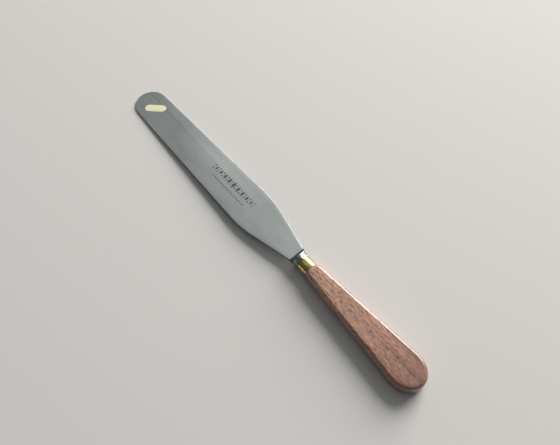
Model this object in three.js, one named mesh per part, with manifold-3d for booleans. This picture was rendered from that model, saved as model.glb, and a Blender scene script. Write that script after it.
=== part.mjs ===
// Palette knife: a flexible round-tipped steel blade, a brass ferrule and a flat-sided wooden handle.
//
// Units are millimetres. X runs along the knife from the blade's tip to the handle's butt, Z is up
// and the knife is symmetric about the XZ plane. The handle's flat underside lies on z = 0 and the
// blade slopes down from its root until its tip rests on the same surface.

import * as THREE from 'three';
import { mergeVertices } from 'three/addons/utils/BufferGeometryUtils.js';
import Module from 'manifold-3d';

const wasm = await Module();
wasm.setup();

// ---- driving dimensions -------------------------------------------------------------------

const FIT_GAP = 0.25; // clearance between two pieces that touch

const TIP_RADIUS = 10.4; // round end of the blade
const SHOULDER = new THREE.Vector2(120, 13); // widest point: distance from the tip, half-width
const SHOULDER_BLEND = 8.5; // length of edge that the shoulder's curve takes on each side
const NECK = new THREE.Vector2(154.5, 5.1); // where the flat neck ends: distance, half-width
const TIP_THICKNESS = 0.6;
const SHOULDER_THICKNESS = 1.1;
const NECK_THICKNESS = 2;

const COLLAR_START = 157.2;
const COLLAR_END = 160.4;
const COLLAR_RADIUS = 4.45;

const TANG_END = 205;
const TANG_HALF_FRONT = 1.25; // half the side of its square section
const TANG_HALF_END = 0.8;

const FERRULE_END = 166.8;
const FERRULE_RADIUS = 4.5;
const FERRULE_WALL = 0.45;
const FERRULE_LIP = 0.15; // chamfer on its outer edges

const HANDLE_START = FERRULE_END + FIT_GAP;
const HANDLE_THICKNESS = 9;
const EDGE_RADIUS = 2; // rounding of the handle's long edges and of its butt
const FLAT_HALF_FRONT = 2.6; // half-width of the flat faces behind the ferrule
const FLAT_HALF_BUTT = 8.1; // half-width of the flat faces where the butt's curve starts
const BUTT_CURVE_START = 238;
const FLAT_END = 248.3; // where the flat faces end at the butt
const FRONT_RADIUS = 4.6; // the handle's front end is turned down to this
const FRONT_LENGTH = 4; // length of the cone that is left by turning
const FRONT_SLOPE = 0.4; // growth of the cone's radius along it

const BORE_RADIUS = 2.8;
const BORE_END = 208;

const LABEL_LENGTH = 13.6;
const LABEL_WIDTH = 5.4;
const LABEL_THICKNESS = 0.1;
const LABEL_CENTRE = 15.3; // distance from the tip
const LABEL_TURN = Math.PI / 4;
const LABEL_GAP = 0.05; // the film of glue under it

const AXIS_HEIGHT = HANDLE_THICKNESS / 2;
const OVERALL_LENGTH = FLAT_END + EDGE_RADIUS;
const RING_SEGMENTS = 48;
const LOFT_SEGMENTS = 24; // a multiple of 8, so that square sections keep their corners

// ---- shared geometry ----------------------------------------------------------------------

// Merges shared vertices and drops the empty triangles that a lathe leaves at its poles.
function closed(geometry) {
  const plain = geometry.clone();
  plain.deleteAttribute('normal');
  plain.deleteAttribute('uv');
  const merged = mergeVertices(plain, 1e-4);
  const kept = [];
  const index = merged.index.array;
  for (let i = 0; i < index.length; i += 3) {
    const [a, b, c] = index.slice(i, i + 3);
    if (a !== b && b !== c && c !== a) kept.push(a, b, c);
  }
  merged.setIndex(kept);
  return merged;
}

function toSolid(geometry) {
  const mesh = closed(geometry);
  return new wasm.Manifold(new wasm.Mesh({
    numProp: 3,
    vertProperties: new Float32Array(mesh.attributes.position.array),
    triVerts: new Uint32Array(mesh.index.array),
  }));
}

function fromSolid(solid) {
  const { vertProperties, triVerts } = solid.getMesh();
  const geometry = new THREE.BufferGeometry();
  geometry.setAttribute('position', new THREE.BufferAttribute(vertProperties, 3));
  geometry.setIndex(new THREE.BufferAttribute(triVerts, 1));
  geometry.computeVertexNormals();
  return geometry;
}

// A round solid about the knife's axis. Each profile point is [distance from the tip, radius].
function turned(profile, segments = RING_SEGMENTS) {
  const points = profile.map(([x, radius]) => new THREE.Vector2(radius, x));
  const lathe = new THREE.LatheGeometry(points, segments);
  lathe.rotateZ(-Math.PI / 2);
  lathe.translate(0, 0, AXIS_HEIGHT);
  return lathe;
}

// A solid that changes its section along the knife. It is a lathe whose rings are reshaped:
// each station gives x, half-width, half-height, height of its centre and how round it is,
// from 0 for a rectangle to 1 for an ellipse.
function loft(stations) {
  const first = stations[0];
  const last = stations.at(-1);
  const rings = [{ ...first, width: 0, height: 0 }, ...stations, { ...last, width: 0, height: 0 }];
  const lathe = new THREE.LatheGeometry(rings.map(({ x }) => new THREE.Vector2(1, x)), LOFT_SEGMENTS);
  const position = lathe.attributes.position;
  for (let i = 0; i <= LOFT_SEGMENTS; i += 1) {
    const angle = ((i % LOFT_SEGMENTS) / LOFT_SEGMENTS) * 2 * Math.PI;
    const across = -Math.sin(angle);
    const up = Math.cos(angle);
    const square = 1 / Math.max(Math.abs(across), Math.abs(up));
    rings.forEach(({ x, width, height, z, round }, j) => {
      const scale = THREE.MathUtils.lerp(square, 1, round);
      position.setXYZ(i * rings.length + j, x, width * across * scale, z + height * up * scale);
    });
  }
  return lathe;
}

// ---- blade --------------------------------------------------------------------------------

// Half of the blade's outline: the tip's arc, a straight edge widening to the shoulder, the
// shoulder's curve and a straight edge narrowing to the neck.
function bladeOutline() {
  const centre = new THREE.Vector2(TIP_RADIUS, 0);
  const toShoulder = SHOULDER.clone().sub(centre);
  const tangentAngle = toShoulder.angle() + Math.acos(TIP_RADIUS / toShoulder.length());
  const tip = new THREE.EllipseCurve(TIP_RADIUS, 0, TIP_RADIUS, TIP_RADIUS, Math.PI, tangentAngle, true);
  const tangent = tip.getPoint(1);
  const towardsTip = tangent.clone().sub(SHOULDER).setLength(SHOULDER_BLEND).add(SHOULDER);
  const towardsNeck = NECK.clone().sub(SHOULDER).setLength(SHOULDER_BLEND).add(SHOULDER);
  const shoulder = new THREE.QuadraticBezierCurve(towardsTip, SHOULDER, towardsNeck);
  return [...tip.getPoints(20).slice(1), ...shoulder.getPoints(10), NECK];
}

// The blade is thinnest at the tip, where it bends most, and thickens quickly behind the shoulder.
function bladeThickness(x) {
  if (x < SHOULDER.x) return THREE.MathUtils.mapLinear(x, 0, SHOULDER.x, TIP_THICKNESS, SHOULDER_THICKNESS);
  return THREE.MathUtils.mapLinear(x, SHOULDER.x, NECK.x, SHOULDER_THICKNESS, NECK_THICKNESS);
}

// Height of the blade's middle, from the tip on the table to the handle's axis at the neck.
function bladeHeight(x) {
  return THREE.MathUtils.mapLinear(x, 0, NECK.x, TIP_THICKNESS / 2, AXIS_HEIGHT);
}

function bladeGeometry() {
  const flat = bladeOutline().map((point) => ({
    x: point.x,
    width: point.y,
    height: bladeThickness(point.x) / 2,
    z: bladeHeight(point.x),
    round: 0,
  }));
  const root = [0.2, 0.4, 0.6, 0.8, 1].map((t) => ({
    x: THREE.MathUtils.lerp(NECK.x, COLLAR_START, t),
    width: THREE.MathUtils.lerp(NECK.y, COLLAR_RADIUS, t),
    height: THREE.MathUtils.lerp(NECK_THICKNESS / 2, COLLAR_RADIUS, t),
    z: AXIS_HEIGHT,
    round: t ** 3,
  }));
  const shaft = (x, half, round) => ({ x, width: half, height: half, z: AXIS_HEIGHT, round });
  return loft([
    ...flat,
    ...root,
    shaft(COLLAR_END, COLLAR_RADIUS, 1),
    shaft(COLLAR_END, TANG_HALF_FRONT, 0),
    shaft(TANG_END, TANG_HALF_END, 0),
  ]);
}

// ---- ferrule ------------------------------------------------------------------------------

function ferruleGeometry() {
  const start = COLLAR_END + FIT_GAP;
  const inner = FERRULE_RADIUS - FERRULE_WALL;
  const eased = FERRULE_RADIUS - FERRULE_LIP;
  return turned([
    [start, inner],
    [start, eased],
    [start + FERRULE_LIP, FERRULE_RADIUS],
    [FERRULE_END - FERRULE_LIP, FERRULE_RADIUS],
    [FERRULE_END, eased],
    [FERRULE_END, inner],
    [start, inner],
  ]);
}

// ---- handle -------------------------------------------------------------------------------

// The board that the handle is cut from: its flat outline with the long edges rounded over.
function handleBoard() {
  const slope = (FLAT_HALF_BUTT - FLAT_HALF_FRONT) / (BUTT_CURVE_START - HANDLE_START);
  const blankStart = COLLAR_END;
  const blankHalf = FLAT_HALF_FRONT - slope * (HANDLE_START - blankStart);
  const curveLength = FLAT_END - BUTT_CURVE_START;
  const outline = new THREE.Shape();
  outline.moveTo(blankStart, -blankHalf);
  outline.lineTo(BUTT_CURVE_START, -FLAT_HALF_BUTT);
  outline.absellipse(BUTT_CURVE_START, 0, curveLength, FLAT_HALF_BUTT, -Math.PI / 2, Math.PI / 2, false, 0);
  outline.lineTo(blankStart, blankHalf);
  outline.closePath();
  const board = new THREE.ExtrudeGeometry(outline, {
    depth: HANDLE_THICKNESS - 2 * EDGE_RADIUS,
    steps: 1,
    curveSegments: 20,
    bevelEnabled: true,
    bevelThickness: EDGE_RADIUS,
    bevelSize: EDGE_RADIUS,
    bevelSegments: 5,
  });
  board.translate(0, 0, EDGE_RADIUS);
  return board;
}

function handleGeometry() {
  const clear = OVERALL_LENGTH + FIT_GAP;
  const clearRadius = FLAT_HALF_BUTT + HANDLE_THICKNESS;
  const front = turned([
    [HANDLE_START, 0],
    [HANDLE_START, FRONT_RADIUS],
    [HANDLE_START + FRONT_LENGTH, FRONT_RADIUS + FRONT_LENGTH * FRONT_SLOPE],
    [HANDLE_START + FRONT_LENGTH, clearRadius],
    [clear, clearRadius],
    [clear, 0],
  ]);
  const spigotStart = COLLAR_END + 2 * FIT_GAP;
  const spigotRadius = FERRULE_RADIUS - FERRULE_WALL - FIT_GAP;
  const spigot = turned([
    [spigotStart, 0],
    [spigotStart, spigotRadius],
    [HANDLE_START + EDGE_RADIUS, spigotRadius],
    [HANDLE_START + EDGE_RADIUS, 0],
  ]);
  const bore = turned([
    [COLLAR_END, 0],
    [COLLAR_END, BORE_RADIUS],
    [BORE_END, BORE_RADIUS],
    [BORE_END, 0],
  ]);
  const shaped = toSolid(handleBoard()).intersect(toSolid(front));
  return fromSolid(shaped.add(toSolid(spigot)).subtract(toSolid(bore)));
}

// ---- cement around the tang ---------------------------------------------------------------

function cementGeometry() {
  const start = COLLAR_END + 3 * FIT_GAP;
  const radius = BORE_RADIUS - FIT_GAP;
  const plug = turned([
    [start, 0],
    [start, radius],
    [BORE_END - FIT_GAP, radius],
    [BORE_END - FIT_GAP, 0],
  ]);
  const pocketSide = (x, half) => ({ x, width: half, height: half, z: AXIS_HEIGHT, round: 0 });
  const pocket = loft([
    pocketSide(COLLAR_END, TANG_HALF_FRONT + FIT_GAP),
    pocketSide(TANG_END + FIT_GAP, TANG_HALF_END + FIT_GAP),
  ]);
  return fromSolid(toSolid(plug).subtract(toSolid(pocket)));
}

// ---- foil label ---------------------------------------------------------------------------

// A plain strip of foil with round ends, lying on the sloping face of the blade.
function labelGeometry() {
  const reach = (LABEL_LENGTH - LABEL_WIDTH) / 2;
  const outline = new THREE.Shape();
  outline.absarc(reach, 0, LABEL_WIDTH / 2, -Math.PI / 2, Math.PI / 2, false);
  outline.absarc(-reach, 0, LABEL_WIDTH / 2, Math.PI / 2, (3 * Math.PI) / 2, false);
  outline.closePath();
  const label = new THREE.ExtrudeGeometry(outline, {
    depth: LABEL_THICKNESS,
    steps: 1,
    curveSegments: 12,
    bevelEnabled: false,
  });
  label.rotateZ(LABEL_TURN);
  label.translate(LABEL_CENTRE, 0, LABEL_GAP);
  const position = label.attributes.position;
  for (let i = 0; i < position.count; i += 1) {
    const x = position.getX(i);
    position.setZ(i, position.getZ(i) + bladeHeight(x) + bladeThickness(x) / 2);
  }
  return label;
}

// ---- assembly -----------------------------------------------------------------------------

const steel = { color: 0x9aa09f, metalness: 1, roughness: 0.35 };
const brass = { color: 0xb4943c, metalness: 1, roughness: 0.25 };
const wood = { color: 0x8b5a49, metalness: 0, roughness: 0.45 };
const resin = { color: 0x3c2a1e, metalness: 0, roughness: 0.7 };
const foil = { color: 0xc6a03c, metalness: 1, roughness: 0.3 };

function piece(name, geometry, finish) {
  const mesh = new THREE.Mesh(geometry, new THREE.MeshStandardMaterial(finish));
  mesh.name = name;
  return mesh;
}

const knife = new THREE.Group();
knife.position.x = -OVERALL_LENGTH / 2;
knife.add(
  piece('blade', bladeGeometry(), steel),
  piece('ferrule', ferruleGeometry(), brass),
  piece('handle', handleGeometry(), wood),
  piece('tang_cement', cementGeometry(), resin),
  piece('foil_label', labelGeometry(), foil),
);

export default knife;
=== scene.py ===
"""Looks of the palette knife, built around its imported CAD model.

The row frame is in metres: X runs from the blade's tip to the handle's butt, Z is up and the
knife lies on z = 0. The knife's lengths are written in millimetres, and mm() turns them into
metres. Its places are worked out from the boxes of the CAD nodes. The room's lengths are in metres.
"""

import math

import bmesh
import bpy
from mathutils import Matrix, Vector, noise


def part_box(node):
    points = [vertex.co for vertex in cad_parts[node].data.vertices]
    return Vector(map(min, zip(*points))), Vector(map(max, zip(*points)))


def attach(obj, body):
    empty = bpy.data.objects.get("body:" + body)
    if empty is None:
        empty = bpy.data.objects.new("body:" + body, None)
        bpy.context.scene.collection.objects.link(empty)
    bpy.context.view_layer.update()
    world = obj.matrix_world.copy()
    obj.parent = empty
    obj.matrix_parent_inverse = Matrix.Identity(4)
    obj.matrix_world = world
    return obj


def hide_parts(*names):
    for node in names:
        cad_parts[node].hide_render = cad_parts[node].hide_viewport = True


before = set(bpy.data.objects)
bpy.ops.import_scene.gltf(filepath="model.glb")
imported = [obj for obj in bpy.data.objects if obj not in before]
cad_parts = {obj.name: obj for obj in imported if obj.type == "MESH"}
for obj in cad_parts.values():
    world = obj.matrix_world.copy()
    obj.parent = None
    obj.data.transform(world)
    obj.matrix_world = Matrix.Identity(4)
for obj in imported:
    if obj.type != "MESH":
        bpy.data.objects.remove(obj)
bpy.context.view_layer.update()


def mm(value):
    """Millimetres to metres."""
    return value / 1000


# ---- sizes --------------------------------------------------------------------------------

blade_low, blade_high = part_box("blade")
ferrule_low, ferrule_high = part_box("ferrule")
handle_low, handle_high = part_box("handle")
label_low, label_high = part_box("foil_label")

TIP_X = blade_low.x
BUTT_X = handle_high.x
AXIS_Z = (handle_low.z + handle_high.z) / 2
HALF_THICKNESS = (handle_high.z - handle_low.z) / 2

# Blade, measured from its tip.
TIP_RADIUS = mm(10.4)
SHOULDER_X = TIP_X + mm(120)
SHOULDER_HALF = mm(13)
SHOULDER_BLEND = mm(8.5)
NECK_X = TIP_X + mm(154.5)
NECK_HALF = mm(5.1)
TIP_THICKNESS = mm(0.6)
SHOULDER_THICKNESS = mm(1.1)
NECK_THICKNESS = mm(2)
EDGE_EASE = mm(0.16)
ROOT_EASE = mm(0.35)
COLLAR_RADIUS = blade_high.z - AXIS_Z
COLLAR_START = TIP_X + mm(157.2)
COLLAR_END = ferrule_low.x - mm(0.25)
COLLAR_EASE = mm(0.2)
TANG_END = blade_high.x
TANG_HALF_FRONT = mm(1.25)
TANG_HALF_END = mm(0.8)

# Ferrule.
FERRULE_START = ferrule_low.x
FERRULE_END = ferrule_high.x
FERRULE_RADIUS = (ferrule_high.z - ferrule_low.z) / 2
FERRULE_INNER = FERRULE_RADIUS - mm(0.45)
FERRULE_EASE = mm(0.22)
FERRULE_WAIST = mm(0.03)

# Handle.
HANDLE_START = FERRULE_END + mm(0.1)
SPIGOT_START = handle_low.x
SPIGOT_RADIUS = FERRULE_INNER - mm(0.15)
BORE_RADIUS = mm(2.8)
BORE_END = TANG_END + mm(3)
EDGE_RADIUS = mm(2)
FLAT_HALF_FRONT = mm(2.6)
FLAT_HALF_BUTT = mm(8.1)
FLAT_END = BUTT_X - EDGE_RADIUS
BUTT_CURVE_START = FLAT_END - mm(10.3)
FRONT_RADIUS = mm(4.55)
FRONT_LENGTH = mm(4)
FRONT_SLOPE = 0.4
WEAR_DEPTH = mm(0.05)
WEAR_LENGTH = mm(14)


def between(value, start, end, low, high):
    """Maps value from the range start..end to low..high, held at both ends."""
    share = min(max((value - start) / (end - start), 0), 1)
    return low + (high - low) * share


def smooth(share):
    return share * share * (3 - 2 * share)


# ---- mesh helpers -------------------------------------------------------------------------

def mesh_object(name, build):
    """A new object whose mesh is made by build(bm)."""
    bm = bmesh.new()
    build(bm)
    bmesh.ops.remove_doubles(bm, verts=bm.verts, dist=1e-7)
    bmesh.ops.dissolve_degenerate(bm, edges=bm.edges, dist=1e-8)
    bmesh.ops.recalc_face_normals(bm, faces=bm.faces)
    mesh = bpy.data.meshes.new(name)
    bm.to_mesh(mesh)
    bm.free()
    piece = bpy.data.objects.new(name, mesh)
    bpy.context.scene.collection.objects.link(piece)
    for face in mesh.polygons:
        face.use_smooth = True
    return piece


def skin(bm, rings, close_start=True, close_end=True, looped=False):
    """Faces between successive rings of points, with a cap on each open end."""
    loops = [[bm.verts.new(point) for point in ring] for ring in rings]
    count = len(loops[0])
    pairs = list(zip(loops, loops[1:]))
    if looped:
        pairs.append((loops[-1], loops[0]))
    for one, two in pairs:
        for i in range(count):
            j = (i + 1) % count
            bm.faces.new((one[i], one[j], two[j], two[i]))
    if close_start and not looped:
        bm.faces.new(loops[0])
    if close_end and not looped:
        bm.faces.new(loops[-1])


def sharpen(piece, degrees=32):
    """Edges that turn more than this stay crisp, and the rest shade smoothly."""
    bm = bmesh.new()
    bm.from_mesh(piece.data)
    for edge in bm.edges:
        if len(edge.link_faces) == 2:
            edge.smooth = edge.calc_face_angle(0) < math.radians(degrees)
    bm.to_mesh(piece.data)
    bm.free()


# A plate's section is walked once round: across the top, round the right edge, across the bottom
# and round the left edge. Each step gives where it is across the flat (-1 to 1), how far it is
# out into the rounded edge (0 to 1), its height (-1 to 1 between the edges' flat sides), and the
# part of the height that belongs to the rounding (-1 to 1).
STRIP_STEPS = 10
CORNER_STEPS = 7
SIDE_STEPS = 3


def plate_section():
    right = []
    for i in range(CORNER_STEPS + 1):
        angle = math.pi / 2 * (1 - i / CORNER_STEPS)
        right.append((math.cos(angle), 1, math.sin(angle)))
    for i in range(1, SIDE_STEPS):
        right.append((1, 1 - 2 * i / SIDE_STEPS, 0))
    for i in range(CORNER_STEPS + 1):
        angle = -math.pi / 2 * i / CORNER_STEPS
        right.append((math.cos(angle), -1, math.sin(angle)))
    steps = [(-1 + 2 * i / STRIP_STEPS, 0, 1, 1) for i in range(1, STRIP_STEPS)]
    steps += [(1, *step) for step in right]
    steps += [(1 - 2 * i / STRIP_STEPS, 0, -1, -1) for i in range(1, STRIP_STEPS)]
    steps += [(-1, *step) for step in reversed(right)]
    return steps


SECTION = plate_section()


def plate_ring(flat_x, flat_half, half_height, rounding, outward, centre_z):
    """One ring of a plate with rounded edges. flat_half is the half-width of its flat face at
    flat_x, and outward is the plan direction (x, y) in which the edge bulges on the right."""
    ring = []
    straight = half_height - rounding
    for across, bulge, level, turn in SECTION:
        side = 1 if across > 0 else -1
        out = rounding * bulge
        ring.append(Vector((
            flat_x + outward[0] * out,
            across * flat_half + side * outward[1] * out,
            centre_z + level * straight + turn * rounding,
        )))
    return ring


def round_ring(x, radius, like):
    """A circle about the knife's axis whose points lie at the same angles as another ring's."""
    ring = []
    for point in like:
        angle = math.atan2(point.z - AXIS_Z, point.y)
        ring.append(Vector((x, radius * math.cos(angle), AXIS_Z + radius * math.sin(angle))))
    return ring


def square_ring(x, half, like):
    ring = []
    for point in like:
        angle = math.atan2(point.z - AXIS_Z, point.y)
        reach = half / max(abs(math.cos(angle)), abs(math.sin(angle)))
        ring.append(Vector((x, reach * math.cos(angle), AXIS_Z + reach * math.sin(angle))))
    return ring


def mixed_ring(one, two, share):
    return [a.lerp(b, share) for a, b in zip(one, two)]


# ---- blade --------------------------------------------------------------------------------

def blade_thickness(x):
    if x < SHOULDER_X:
        return between(x, TIP_X, SHOULDER_X, TIP_THICKNESS, SHOULDER_THICKNESS)
    return between(x, SHOULDER_X, NECK_X, SHOULDER_THICKNESS, NECK_THICKNESS)


def blade_height(x):
    """Height of the blade's middle: its tip lies on the table and its neck meets the axis."""
    return between(x, TIP_X, NECK_X, TIP_THICKNESS / 2, AXIS_Z)


def blade_face(x):
    return blade_height(x) + blade_thickness(x) / 2


def blade_outline():
    """The right half of the outline from tip to neck, as points with their outward directions."""
    centre = Vector((TIP_X + TIP_RADIUS, 0))
    shoulder = Vector((SHOULDER_X, SHOULDER_HALF))
    neck = Vector((NECK_X, NECK_HALF))
    reach = shoulder - centre
    tangent_angle = math.atan2(reach.y, reach.x) + math.acos(TIP_RADIUS / reach.length)
    outline = []
    arc_steps = 26
    for i in range(arc_steps + 1):
        angle = math.pi + (tangent_angle - math.pi) * i / arc_steps
        outward = Vector((math.cos(angle), math.sin(angle)))
        outline.append((centre + TIP_RADIUS * outward, outward))
    tangent = outline[-1][0]
    curve_start = shoulder + (tangent - shoulder).normalized() * SHOULDER_BLEND
    curve_end = shoulder + (neck - shoulder).normalized() * SHOULDER_BLEND

    def along(start, end, steps):
        side = (end - start).normalized()
        outward = Vector((-side.y, side.x))
        return [(start.lerp(end, i / steps), outward) for i in range(1, steps + 1)]

    outline += along(tangent, curve_start, 36)
    curve_steps = 12
    for i in range(1, curve_steps + 1):
        t = i / curve_steps
        point = (1 - t) ** 2 * curve_start + 2 * t * (1 - t) * shoulder + t * t * curve_end
        side = ((1 - t) * (shoulder - curve_start) + t * (curve_end - shoulder)).normalized()
        outline.append((point, Vector((-side.y, side.x))))
    outline += along(curve_end, neck, 12)
    return outline


def build_blade(bm):
    rings = []
    for point, outward in blade_outline():
        half = blade_thickness(point.x) / 2
        rounding = min(EDGE_EASE, 0.8 * half)
        flat = point - outward * rounding
        rings.append(plate_ring(flat.x, flat.y, half, rounding, outward, blade_height(point.x)))
    neck = plate_ring(NECK_X, NECK_HALF - EDGE_EASE, NECK_THICKNESS / 2, EDGE_EASE, (0, 1), AXIS_Z)
    rings[-1] = neck
    # The root is a block in front, and turns into the round collar mostly near its end.
    root_steps = 12
    for i in range(1, root_steps + 1):
        t = i / root_steps
        x = NECK_X + (COLLAR_START - NECK_X) * t
        half = NECK_THICKNESS / 2 + (COLLAR_RADIUS - NECK_THICKNESS / 2) * t
        flat_half = (NECK_HALF + (COLLAR_RADIUS - NECK_HALF) * t) - ROOT_EASE
        block = plate_ring(x, flat_half, half, ROOT_EASE, (0, 1), AXIS_Z)
        rings.append(mixed_ring(block, round_ring(x, COLLAR_RADIUS, block), t ** 3))
    for back, drop in ((COLLAR_EASE, 0), (COLLAR_EASE * 0.3, 0.3), (0, 1)):
        rings.append(round_ring(COLLAR_END - back, COLLAR_RADIUS - COLLAR_EASE * drop, neck))
    rings.append(square_ring(COLLAR_END, TANG_HALF_FRONT, neck))
    rings.append(square_ring(TANG_END, TANG_HALF_END, neck))
    skin(bm, rings, close_start=False)


blade = mesh_object("steel_blade", build_blade)
sharpen(blade)


# ---- ferrule ------------------------------------------------------------------------------

def build_ferrule(bm):
    """A drawn tube with eased ends and a hair's waist along its middle."""
    eased_end = []
    steps = 5
    for i in range(steps + 1):
        angle = math.pi / 2 * i / steps
        eased_end.append((FERRULE_EASE * (1 - math.sin(angle)), FERRULE_EASE * (1 - math.cos(angle))))
    outline = [(FERRULE_START + along, FERRULE_RADIUS - drop) for along, drop in reversed(eased_end)]
    outline.append(((FERRULE_START + FERRULE_END) / 2, FERRULE_RADIUS - FERRULE_WAIST))
    outline += [(FERRULE_END - along, FERRULE_RADIUS - drop) for along, drop in eased_end]
    outline += [(FERRULE_END, FERRULE_INNER), (FERRULE_START, FERRULE_INNER)]
    segments = 96
    rings = []
    for i in range(segments):
        angle = 2 * math.pi * i / segments
        rings.append([
            Vector((x, radius * math.cos(angle), AXIS_Z + radius * math.sin(angle)))
            for x, radius in outline
        ])
    skin(bm, rings, looped=True)


ferrule = mesh_object("brass_ferrule", build_ferrule)
sharpen(ferrule)


# ---- handle -------------------------------------------------------------------------------

def handle_outline():
    """The right half of the flat face's outline, from the butt's end to the front."""
    length = FLAT_END - BUTT_CURVE_START
    taper = (FLAT_HALF_BUTT - FLAT_HALF_FRONT) / (BUTT_CURVE_START - HANDLE_START)
    last_angle = -math.atan(taper * length / FLAT_HALF_BUTT)
    outline = []
    curve_steps = 40
    for i in range(curve_steps + 1):
        angle = math.pi / 2 + (last_angle - math.pi / 2) * i / curve_steps
        point = Vector((BUTT_CURVE_START + length * math.sin(angle), FLAT_HALF_BUTT * math.cos(angle)))
        outward = Vector((FLAT_HALF_BUTT * math.sin(angle), length * math.cos(angle))).normalized()
        outline.append((point, outward))
    start, outward = outline[-1]
    front = Vector((HANDLE_START, start.y - taper * (start.x - HANDLE_START)))
    straight_steps = 70
    for i in range(1, straight_steps + 1):
        t = i / straight_steps
        turn = smooth(between(t, 0.85, 1, 0, 1))
        outline.append((start.lerp(front, t), outward.lerp(Vector((0, 1)), turn).normalized()))
    return outline


def turned_front(ring):
    """Trims a ring near the handle's front to the cone left by turning."""
    trimmed = []
    for point in ring:
        limit = FRONT_RADIUS + FRONT_SLOPE * max(point.x - HANDLE_START, 0)
        share = min(1, limit / math.hypot(point.y, point.z - AXIS_Z))
        trimmed.append(Vector((point.x, point.y * share, AXIS_Z + (point.z - AXIS_Z) * share)))
    return trimmed


def hand_worn(ring):
    """Slow hollows of a few hundredths of a millimetre, as a hand-shaped handle has."""
    worn = []
    for point in ring:
        across = Vector((0, point.y, point.z - AXIS_Z))
        swell = 0.5 * (noise.noise(point * (1 / WEAR_LENGTH)) - 1)
        worn.append(point + across.normalized() * WEAR_DEPTH * swell)
    return worn


def build_handle(bm):
    rings = []
    for flat, outward in handle_outline():
        ring = plate_ring(flat.x, flat.y, HALF_THICKNESS, EDGE_RADIUS, outward, AXIS_Z)
        # Near the front the rings stand square to the axis, so that the turned ones can follow.
        if flat.x < HANDLE_START + 2 * FRONT_LENGTH:
            ring = [Vector((flat.x, point.y, point.z)) for point in ring]
        rings.append(ring)
    full = rings[-1]
    rings = [ring for ring in rings if ring[0].x > HANDLE_START + FRONT_LENGTH]
    front_steps = 12
    for i in range(front_steps + 1):
        x = HANDLE_START + FRONT_LENGTH * (1 - i / front_steps)
        taper = (x - HANDLE_START) / (BUTT_CURVE_START - HANDLE_START)
        half = FLAT_HALF_FRONT + (FLAT_HALF_BUTT - FLAT_HALF_FRONT) * taper
        ring = plate_ring(x, half, HALF_THICKNESS, EDGE_RADIUS, (0, 1), AXIS_Z)
        rings.append(turned_front(ring))
    rings = [hand_worn(ring) for ring in rings]
    for x, radius in (
        (HANDLE_START, SPIGOT_RADIUS),
        (SPIGOT_START, SPIGOT_RADIUS),
        (SPIGOT_START, BORE_RADIUS),
        (BORE_END, BORE_RADIUS),
    ):
        rings.append(round_ring(x, radius, full))
    skin(bm, rings, close_start=False)


handle = mesh_object("wooden_handle", build_handle)
sharpen(handle)


# ---- foil mark and etched ornament on the blade -------------------------------------------

def build_plates(bm, outlines, thickness, gap):
    """Thin flat plates that follow the blade's sloping face. Each outline is a list of (x, y)."""
    for outline in outlines:
        low = [bm.verts.new((x, y, blade_face(x) + gap)) for x, y in outline]
        high = [bm.verts.new((x, y, blade_face(x) + gap + thickness)) for x, y in outline]
        bm.faces.new(high)
        bm.faces.new(low[::-1])
        for i in range(len(outline)):
            j = (i + 1) % len(outline)
            bm.faces.new((low[i], low[j], high[j], high[i]))


LABEL_LENGTH = mm(13.6)
LABEL_WIDTH = mm(5.4)
LABEL_TURN = math.radians(45)
LABEL_GLUE = mm(0.05)
LABEL_CENTRE = Vector(((label_low.x + label_high.x) / 2, (label_low.y + label_high.y) / 2))


def label_ring(inset):
    """The outline of a strip with round ends, drawn in from its edge by inset."""
    reach = (LABEL_LENGTH - LABEL_WIDTH) / 2
    radius = LABEL_WIDTH / 2 - inset
    ring = []
    arc_steps = 20
    for side in (1, -1):
        for i in range(arc_steps + 1):
            angle = -math.pi / 2 + math.pi * i / arc_steps
            point = Vector((side * (reach + radius * math.cos(angle)), side * radius * math.sin(angle)))
            point.rotate(Matrix.Rotation(LABEL_TURN, 2))
            ring.append(LABEL_CENTRE + point)
    return ring


def build_label(bm):
    """Foil with a soft edge and a fine sunk line inside it. The steps are insets and rises in mm."""
    steps = (
        (0, 0), (0, 0.04), (0.06, 0.07), (0.2, 0.08), (0.55, 0.08), (0.65, 0.05),
        (0.8, 0.05), (0.9, 0.08), (1.4, 0.08), (2.2, 0.08),
    )
    rings = []
    for inset, rise in steps:
        rings.append([
            Vector((p.x, p.y, blade_face(p.x) + LABEL_GLUE + mm(rise))) for p in label_ring(mm(inset))
        ])
    skin(bm, rings)


label = mesh_object("gold_foil_mark", build_label)
sharpen(label, 50)


ORNAMENT_X = TIP_X + mm(95.5)
ORNAMENT_Y = mm(1.9)
ORNAMENT_PITCH = mm(4.1)
ORNAMENT_TAPER = 0.09
LARGE_LOZENGE = (mm(2.5), mm(5.6))
SMALL_LOZENGE = (mm(1.1), mm(1.6))
SMALL_OFFSET = mm(1.2)
DASH = (mm(1.6), mm(1))
DASH_DROP = mm(4.8)
DASH_PITCH = mm(2)
ETCH_THICKNESS = mm(0.006)
ETCH_GAP = mm(0.004)


def lozenge(x, y, length, width):
    return [(x - length / 2, y), (x, y - width / 2), (x + length / 2, y), (x, y + width / 2)]


def ornament():
    """A border of large lozenges with pairs of small ones between them, over a row of dashes."""
    marks = []
    for i in range(-4, 5):
        size = 1 - ORNAMENT_TAPER * abs(i)
        x = ORNAMENT_X + ORNAMENT_PITCH * i
        marks.append(lozenge(x, ORNAMENT_Y, LARGE_LOZENGE[0] * size, LARGE_LOZENGE[1] * size))
    for i in range(-5, 5):
        x = ORNAMENT_X + ORNAMENT_PITCH * (i + 0.5)
        for side in (1, -1):
            marks.append(lozenge(x, ORNAMENT_Y + side * SMALL_OFFSET, *SMALL_LOZENGE))
    for i in range(-7, 8):
        marks.append(lozenge(ORNAMENT_X + DASH_PITCH * i, ORNAMENT_Y - DASH_DROP, *DASH))
    return marks


def build_ornament(bm):
    build_plates(bm, ornament(), ETCH_THICKNESS, ETCH_GAP)


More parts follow.
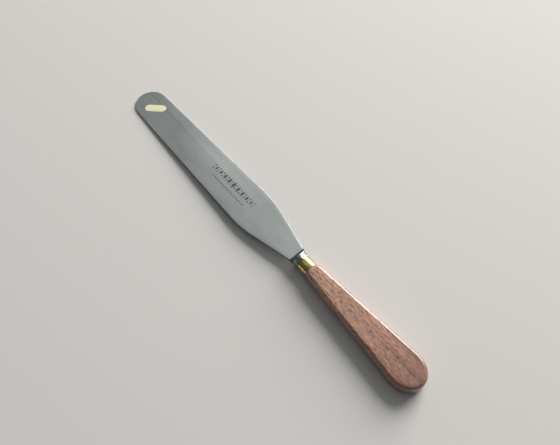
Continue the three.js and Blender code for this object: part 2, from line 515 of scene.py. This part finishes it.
etching = mesh_object("etched_ornament", build_ornament)
for face in etching.data.polygons:
    face.use_smooth = False


# ---- materials ----------------------------------------------------------------------------

class Shader:
    """A node material under construction. Its patterns are laid out in the row frame."""

    def __init__(self, name, color, roughness, metallic=0.0):
        self.material = bpy.data.materials.new(name)
        self.material.use_nodes = True
        self.nodes = self.material.node_tree.nodes
        self.links = self.material.node_tree.links
        self.surface = self.nodes["Principled BSDF"]
        self.surface.inputs["Base Color"].default_value = (*color, 1)
        self.surface.inputs["Roughness"].default_value = roughness
        self.surface.inputs["Metallic"].default_value = metallic
        self.place = self.nodes.new("ShaderNodeTexCoord").outputs["Object"]

    def put(self, socket, value):
        if isinstance(value, bpy.types.NodeSocket):
            self.links.new(value, socket)
        else:
            socket.default_value = value

    def noise(self, along, across, upward=None, detail=3.0, roughness=0.55, shift=0.0, distortion=0.0):
        """Noise whose features are about along mm long in X, across mm wide in Y and upward mm in Z."""
        mapping = self.nodes.new("ShaderNodeMapping")
        upward = across if upward is None else upward
        mapping.inputs["Scale"].default_value = (1000 / along, 1000 / across, 1000 / upward)
        mapping.inputs["Location"].default_value = (shift, shift * 0.7, shift * 1.3)
        self.links.new(self.place, mapping.inputs["Vector"])
        texture = self.nodes.new("ShaderNodeTexNoise")
        texture.inputs["Scale"].default_value = 1.0
        texture.inputs["Detail"].default_value = detail
        texture.inputs["Roughness"].default_value = roughness
        texture.inputs["Distortion"].default_value = distortion
        self.links.new(mapping.outputs["Vector"], texture.inputs["Vector"])
        return texture.outputs["Fac"]

    def ramp(self, value, low, high, start=0.0, end=1.0):
        """Maps value from low..high to start..end, held at both ends."""
        node = self.nodes.new("ShaderNodeMapRange")
        node.inputs["From Min"].default_value = low
        node.inputs["From Max"].default_value = high
        node.inputs["To Min"].default_value = start
        node.inputs["To Max"].default_value = end
        self.links.new(value, node.inputs["Value"])
        return node.outputs["Result"]

    def mix(self, share, one, two):
        """Mixes two colours by share."""
        node = self.nodes.new("ShaderNodeMix")
        node.data_type = "RGBA"
        self.put(node.inputs[0], share)
        for socket, value in ((node.inputs[6], one), (node.inputs[7], two)):
            self.put(socket, value if isinstance(value, bpy.types.NodeSocket) else (*value, 1))
        return node.outputs[2]

    def math(self, operation, *values):
        node = self.nodes.new("ShaderNodeMath")
        node.operation = operation
        for socket, value in zip(node.inputs, values):
            self.put(socket, value)
        return node.outputs[0]

    def axis(self, name):
        """One coordinate of the place, in metres."""
        node = self.nodes.new("ShaderNodeSeparateXYZ")
        self.links.new(self.place, node.inputs[0])
        return node.outputs[name]

    def bump(self, height, strength, depth, onto=None):
        """Adds relief of about depth mm, and returns the normal."""
        node = self.nodes.new("ShaderNodeBump")
        node.inputs["Strength"].default_value = strength
        node.inputs["Distance"].default_value = mm(depth)
        self.links.new(height, node.inputs["Height"])
        if onto is not None:
            self.links.new(onto, node.inputs["Normal"])
        return node.outputs["Normal"]

    def finish(self, color=None, roughness=None, normal=None):
        if color is not None:
            self.links.new(color, self.surface.inputs["Base Color"])
        if roughness is not None:
            self.links.new(roughness, self.surface.inputs["Roughness"])
        if normal is not None:
            self.links.new(normal, self.surface.inputs["Normal"])
        return self.material


# Marks on the blade's face: a thin dark streak that drifts inwards from the tip, and a wide pale band
# beside it, which is a painted sheen. Their widths run from the middle to where they have faded out.
STREAK_Y = mm(5)
STREAK_SLANT = -0.025
STREAK_WIDTH = mm(1.2)
STREAK_SHARE = 0.45
STREAK_FADE = (mm(60), mm(95))
SHEEN_Y = mm(6)
SHEEN_WIDTH = mm(9)
SHEEN_SHARE = 0.4
SHEEN_RISE = (mm(36), mm(66))
SHEEN_FADE = (mm(82), mm(118))
ROOT_SHADE_BLUR = mm(0.6)


def steel_material():
    """Satin steel: fine lengthwise brushing, faint smears, a streak, a pale band of painted sheen and a
    root darkened with painted shade.
    """
    steel = Shader("satin_steel", (0.44, 0.46, 0.45), 0.36, metallic=1)
    patches = steel.noise(34, 12, detail=4, roughness=0.6)
    smears = steel.noise(10, 3, detail=5, roughness=0.65, shift=5)
    brushed = steel.noise(16, 0.18, detail=2, shift=9)
    scratches = steel.ramp(steel.noise(22, 0.3, detail=1, roughness=0.3, shift=21), 0.66, 0.72)
    color = steel.mix(steel.ramp(patches, 0.38, 0.64), (0.42, 0.445, 0.43), (0.295, 0.315, 0.31))
    color = steel.mix(steel.ramp(smears, 0.48, 0.72, 0, 0.4), color, (0.235, 0.25, 0.25))
    color = steel.mix(steel.ramp(brushed, 0.3, 0.7, 0, 0.22), color, (0.48, 0.5, 0.485))
    color = steel.mix(steel.math("MULTIPLY", scratches, 0.2), color, (0.6, 0.62, 0.61))
    place_x = steel.axis("X")
    place_y = steel.axis("Y")
    from_tip = steel.math("SUBTRACT", place_x, TIP_X)
    drift = steel.math("MULTIPLY", from_tip, STREAK_SLANT)
    aside = steel.math("SUBTRACT", steel.math("SUBTRACT", place_y, STREAK_Y), drift)
    streak = steel.ramp(steel.math("ABSOLUTE", aside), 0, STREAK_WIDTH, 1, 0)
    streak = steel.math("MULTIPLY", streak, steel.ramp(from_tip, *STREAK_FADE, STREAK_SHARE, 0))
    color = steel.mix(streak, color, (0.2, 0.225, 0.225))
    # Painted sheen: a wide pale band stands in for a reflection on the blade's face.
    aside = steel.math("SUBTRACT", place_y, SHEEN_Y)
    painted_sheen = steel.ramp(steel.math("ABSOLUTE", aside), 0, SHEEN_WIDTH, 1, 0)
    painted_sheen = steel.math("MULTIPLY", painted_sheen, steel.ramp(from_tip, *SHEEN_RISE, 0, SHEEN_SHARE))
    painted_sheen = steel.math("MULTIPLY", painted_sheen, steel.ramp(from_tip, *SHEEN_FADE, 1, 0))
    color = steel.mix(painted_sheen, color, (0.74, 0.79, 0.77))
    # Painted shade: the sloping root between the neck and the collar is darkened for the shade that
    # falls there beside the collar.
    root = steel.ramp(place_x, NECK_X, NECK_X + ROOT_SHADE_BLUR)
    root_shade_end = steel.ramp(place_x, COLLAR_START - ROOT_SHADE_BLUR, COLLAR_START, 1, 0)
    color = steel.mix(steel.math("MULTIPLY", root, root_shade_end), color, (0.17, 0.19, 0.2))
    roughness = steel.math(
        "ADD", steel.ramp(patches, 0.3, 0.7, 0.32, 0.42), steel.ramp(smears, 0.4, 0.7, 0, 0.08))
    normal = steel.bump(brushed, 0.3, 0.01)
    normal = steel.bump(patches, 0.35, 0.05, onto=normal)
    return steel.finish(color, roughness, normal)


def etching_material():
    etched = Shader("etched_steel", (0.08, 0.085, 0.085), 0.62, metallic=0.5)
    frost = etched.noise(0.5, 0.5, detail=4)
    color = etched.mix(etched.ramp(frost, 0.35, 0.65), (0.045, 0.05, 0.05), (0.12, 0.125, 0.125))
    return etched.finish(color, etched.ramp(frost, 0.3, 0.7, 0.52, 0.7))


def brass_material():
    """Drawn brass with fine rings round it, dulled in patches."""
    brass = Shader("aged_brass", (0.66, 0.5, 0.15), 0.2, metallic=1)
    turned = brass.noise(0.1, 30, detail=2)
    tarnish = brass.noise(2.4, 2.2, detail=5, roughness=0.65, shift=3)
    color = brass.mix(brass.ramp(tarnish, 0.45, 0.72, 0, 0.75), (0.7, 0.54, 0.17), (0.36, 0.27, 0.08))
    color = brass.mix(brass.ramp(turned, 0.35, 0.7, 0, 0.2), color, (0.85, 0.72, 0.35))
    roughness = brass.math(
        "ADD", brass.ramp(tarnish, 0.4, 0.75, 0.11, 0.24), brass.ramp(turned, 0.3, 0.7, 0, 0.06))
    normal = brass.bump(turned, 0.3, 0.008)
    normal = brass.bump(tarnish, 0.2, 0.02, onto=normal)
    return brass.finish(color, roughness, normal)


# How far from the butt's end the wood turns darker, from where it starts to where it is darkest.
BUTT_DARKENING = (mm(42), mm(2))


def wood_material():
    """Oiled red-brown hardwood: slow figure, dark growth lines, pale flecks and open pores."""
    wood = Shader("red_brown_wood", (0.3, 0.15, 0.11), 0.42)
    wood.surface.inputs["Coat Weight"].default_value = 1.0
    wood.surface.inputs["Coat Roughness"].default_value = 0.14
    figure = wood.noise(110, 3.2, detail=3, roughness=0.5, distortion=0.25)
    streaks = wood.noise(50, 1.1, detail=4, roughness=0.6, shift=4)
    fibres = wood.noise(14, 0.32, detail=3, roughness=0.65, shift=8)
    flecks = wood.ramp(wood.noise(2.2, 0.24, detail=2, roughness=0.6, shift=12), 0.51, 0.6)
    pores = wood.ramp(wood.noise(3.2, 0.24, detail=2, roughness=0.6, shift=16), 0.53, 0.6)
    color = wood.mix(wood.ramp(figure, 0.42, 0.58), (0.58, 0.275, 0.17), (0.17, 0.07, 0.047))
    color = wood.mix(wood.ramp(streaks, 0.46, 0.6, 0, 0.7), color, (0.13, 0.05, 0.036))
    color = wood.mix(wood.ramp(fibres, 0.42, 0.62, 0, 0.6), color, (0.68, 0.37, 0.24))
    color = wood.mix(wood.math("MULTIPLY", flecks, 0.6), color, (0.88, 0.55, 0.38))
    color = wood.mix(wood.math("MULTIPLY", pores, 0.9), color, (0.04, 0.014, 0.009))
    # The wood is darker towards the butt's end, over the last few centimetres.
    darkening_from, darkening_to = (BUTT_X - distance for distance in BUTT_DARKENING)
    butt_darkening = wood.ramp(wood.axis("X"), darkening_from, darkening_to, 0, 0.66)
    color = wood.mix(butt_darkening, color, (0.14, 0.055, 0.04))
    roughness = wood.math(
        "ADD", wood.ramp(fibres, 0.3, 0.7, 0.34, 0.46), wood.math("MULTIPLY", pores, 0.25))
    normal = wood.bump(wood.math("SUBTRACT", 1.0, pores), 0.3, 0.05)
    return wood.finish(color, roughness, normal)


def foil_material():
    """Pale gold foil on paper: half metal, a little creased and rubbed."""
    foil = Shader("gold_foil", (0.9, 0.84, 0.5), 0.34, metallic=0.45)
    creases = foil.noise(1.8, 1.8, detail=4, roughness=0.6)
    wear = foil.noise(0.7, 0.7, detail=4, shift=6)
    color = foil.mix(foil.ramp(wear, 0.5, 0.75, 0, 0.55), (0.95, 0.93, 0.63), (0.74, 0.71, 0.46))
    return foil.finish(color, foil.ramp(creases, 0.3, 0.7, 0.28, 0.45), foil.bump(creases, 0.3, 0.04))


def cement_material():
    cement = Shader("dark_cement", (0.05, 0.035, 0.025), 0.7)
    grains = cement.noise(0.6, 0.6, detail=4)
    color = cement.mix(grains, (0.03, 0.02, 0.015), (0.09, 0.06, 0.04))
    return cement.finish(color, cement.ramp(grains, 0.3, 0.7, 0.6, 0.85), cement.bump(grains, 0.4, 0.1))


def dress(piece, material, slot, *nodes):
    """Gives a piece its material, hangs it on the root body so that it moves with it, and hides the CAD
    nodes it stands in for.
    """
    piece.data.materials.clear()
    piece.data.materials.append(material)
    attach(piece, "root")
    if nodes:
        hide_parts(*nodes)


dress(blade, steel_material(), "blade_steel", "blade")
dress(etching, etching_material(), "blade_steel")
dress(ferrule, brass_material(), "ferrule_brass", "ferrule")
dress(handle, wood_material(), "handle_wood", "handle")
dress(label, foil_material(), "gold_foil", "foil_label")

cement_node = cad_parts["tang_cement"]
cement_node.data.materials.clear()
cement_node.data.materials.append(cement_material())


# ---- floor, light and camera --------------------------------------------------------------

FLOOR_REACH = 6.0
FLOOR_DROP = mm(0.02)


def floor():
    """A plain square of pale paper, just under the knife."""
    bm = bmesh.new()
    corners = ((-1, -1), (1, -1), (1, 1), (-1, 1))
    bm.faces.new([bm.verts.new((x * FLOOR_REACH, y * FLOOR_REACH, -FLOOR_DROP)) for x, y in corners])
    mesh = bpy.data.meshes.new("floor")
    bm.to_mesh(mesh)
    bm.free()
    ground = bpy.data.objects.new("floor", mesh)
    bpy.context.scene.collection.objects.link(ground)
    paper = Shader("pale_floor", (0.62, 0.61, 0.59), 0.95)
    paper.surface.inputs["Specular IOR Level"].default_value = 0.1
    mesh.materials.append(paper.material)


def aim(thing, place, target, roll=0.0):
    """Puts a lamp or camera at place, looking at target, turned about its line of sight by roll."""
    direction = Vector(target) - Vector(place)
    turn = direction.to_track_quat("-Z", "Y").to_matrix().to_4x4()
    thing.matrix_world = Matrix.Translation(place) @ turn @ Matrix.Rotation(roll, 4, "Z")


def around(azimuth, elevation, distance, target=(0, 0, 0)):
    """The point at that compass angle from +X and height angle, in degrees, seen from target."""
    flat = math.cos(math.radians(elevation))
    return Vector(target) + distance * Vector((
        flat * math.cos(math.radians(azimuth)),
        flat * math.sin(math.radians(azimuth)),
        math.sin(math.radians(elevation)),
    ))


LAMP_DISTANCE = 2.2


def softbox(name, azimuth, elevation, size, power, color):
    """A rectangular lamp aimed at the knife, with its size in metres and its power in watts."""
    data = bpy.data.lights.new(name, "AREA")
    data.shape = "RECTANGLE"
    data.size, data.size_y = size
    data.energy = power
    data.color = color
    lamp = bpy.data.objects.new(name, data)
    bpy.context.scene.collection.objects.link(lamp)
    aim(lamp, around(azimuth, elevation, LAMP_DISTANCE), (0, 0, 0))


ROOM_DARK = 0.07
ROOM_LIGHT = 0.3


def sky():
    """A plain grey room that is lighter on the window's side."""
    world = bpy.data.worlds.new("studio")
    world.use_nodes = True
    nodes = world.node_tree.nodes
    links = world.node_tree.links
    background = nodes["Background"]
    background.inputs["Color"].default_value = (0.95, 0.98, 1.0, 1)
    direction = nodes.new("ShaderNodeTexCoord")
    parts = nodes.new("ShaderNodeSeparateXYZ")
    strength = nodes.new("ShaderNodeMapRange")
    strength.inputs["From Min"].default_value = -1
    strength.inputs["To Min"].default_value = ROOM_DARK
    strength.inputs["To Max"].default_value = ROOM_LIGHT
    links.new(direction.outputs["Generated"], parts.inputs[0])
    links.new(parts.outputs["Y"], strength.inputs["Value"])
    links.new(strength.outputs["Result"], background.inputs["Strength"])
    bpy.context.scene.world = world
    bpy.context.scene.view_settings.view_transform = "Standard"


CAMERA_TARGET = Vector((mm(6.05), mm(7.7), 0))
CAMERA_AZIMUTH = -38.31
CAMERA_ELEVATION = 61.91
CAMERA_DISTANCE = mm(348.2)
CAMERA_ROLL = math.radians(-1.95)
CAMERA_LENS = 38.57


def camera():
    data = bpy.data.cameras.new("camera")
    data.lens = CAMERA_LENS
    data.sensor_width = 36
    view = bpy.data.objects.new("camera", data)
    bpy.context.scene.collection.objects.link(view)
    place = around(CAMERA_AZIMUTH, CAMERA_ELEVATION, CAMERA_DISTANCE, CAMERA_TARGET)
    aim(view, place, CAMERA_TARGET, CAMERA_ROLL)
    bpy.context.scene.camera = view


floor()
sky()
softbox("window", 103, 25, (1.6, 1.6), 102, (1.0, 0.97, 0.95))
softbox("overhead", 155, 60, (2.6, 2.0), 4.2, (0.96, 1.0, 0.99))
camera()
